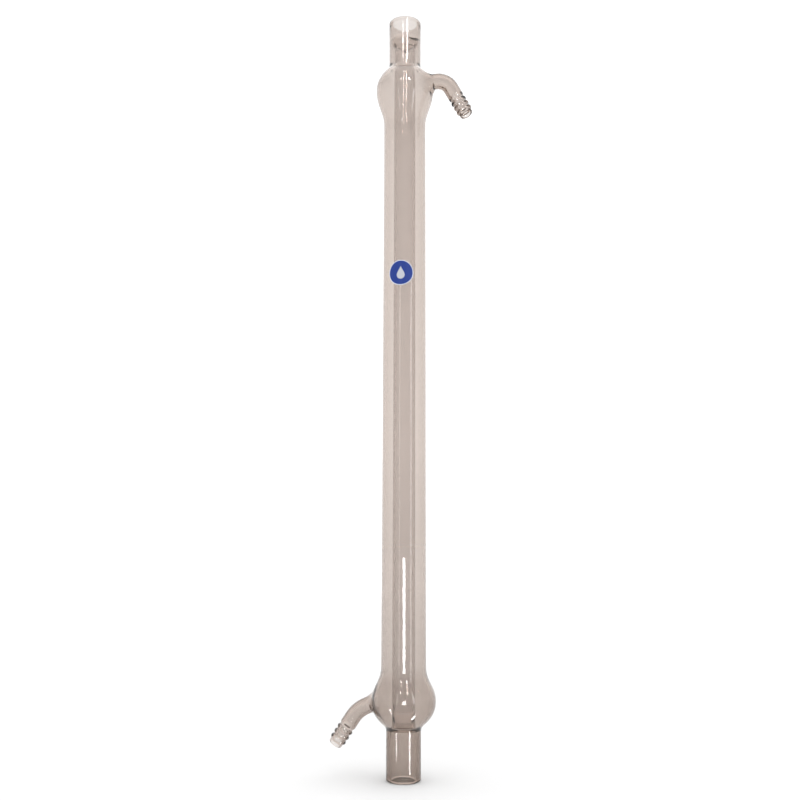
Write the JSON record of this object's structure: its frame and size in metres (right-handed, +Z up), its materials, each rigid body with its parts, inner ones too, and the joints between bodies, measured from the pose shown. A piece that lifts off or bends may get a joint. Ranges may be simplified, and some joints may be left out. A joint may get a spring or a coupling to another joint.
{
  "type": "straight-tube glass condenser",
  "caption": "Clear glass water condenser: a jacket with blown bulbs around a straight inner tube, an open neck, a plain stem, bent ribbed hose arms and a round blue enamel badge.",
  "frame": {"origin": "centre of the stem's lower rim, on the common axis of the tubes", "axes": "+Z up along the tubes to the neck's rim; both hose arms lie in the XZ plane, the outlet arm on +X and the inlet arm on -X; the badge faces -Y, turned 11 degrees towards +X"},
  "size_m": [0.089, 0.037, 0.4603],
  "materials": {
    "jacket_glass": "clear blown glass with a faint warm grey tint",
    "tube_glass": "clear drawn glass tube with a faint warm grey tint",
    "seal_glass": "clear glass, thick and slightly uneven where it was fused",
    "neck_glass": "clear glass tube with a fire-polished rim",
    "stem_glass": "clear glass tube with a thicker wall and a fire-polished rim",
    "arm_glass": "clear bent glass tube with moulded ribs",
    "white_enamel": "thin fired white enamel",
    "blue_enamel": "thin fired blue enamel, satin gloss"
  },
  "bodies": {
    "root": {"water_jacket": "jacket_glass", "inner_tube": "tube_glass", "upper_ring_seal": "seal_glass", "lower_ring_seal": "seal_glass", "neck_tube": "neck_glass", "stem_tube": "stem_glass", "outlet_arm": "arm_glass", "inlet_arm": "arm_glass", "badge_backing": "white_enamel", "badge_field": "blue_enamel", "badge_mark": "white_enamel"}
  },
  "joints": []
}
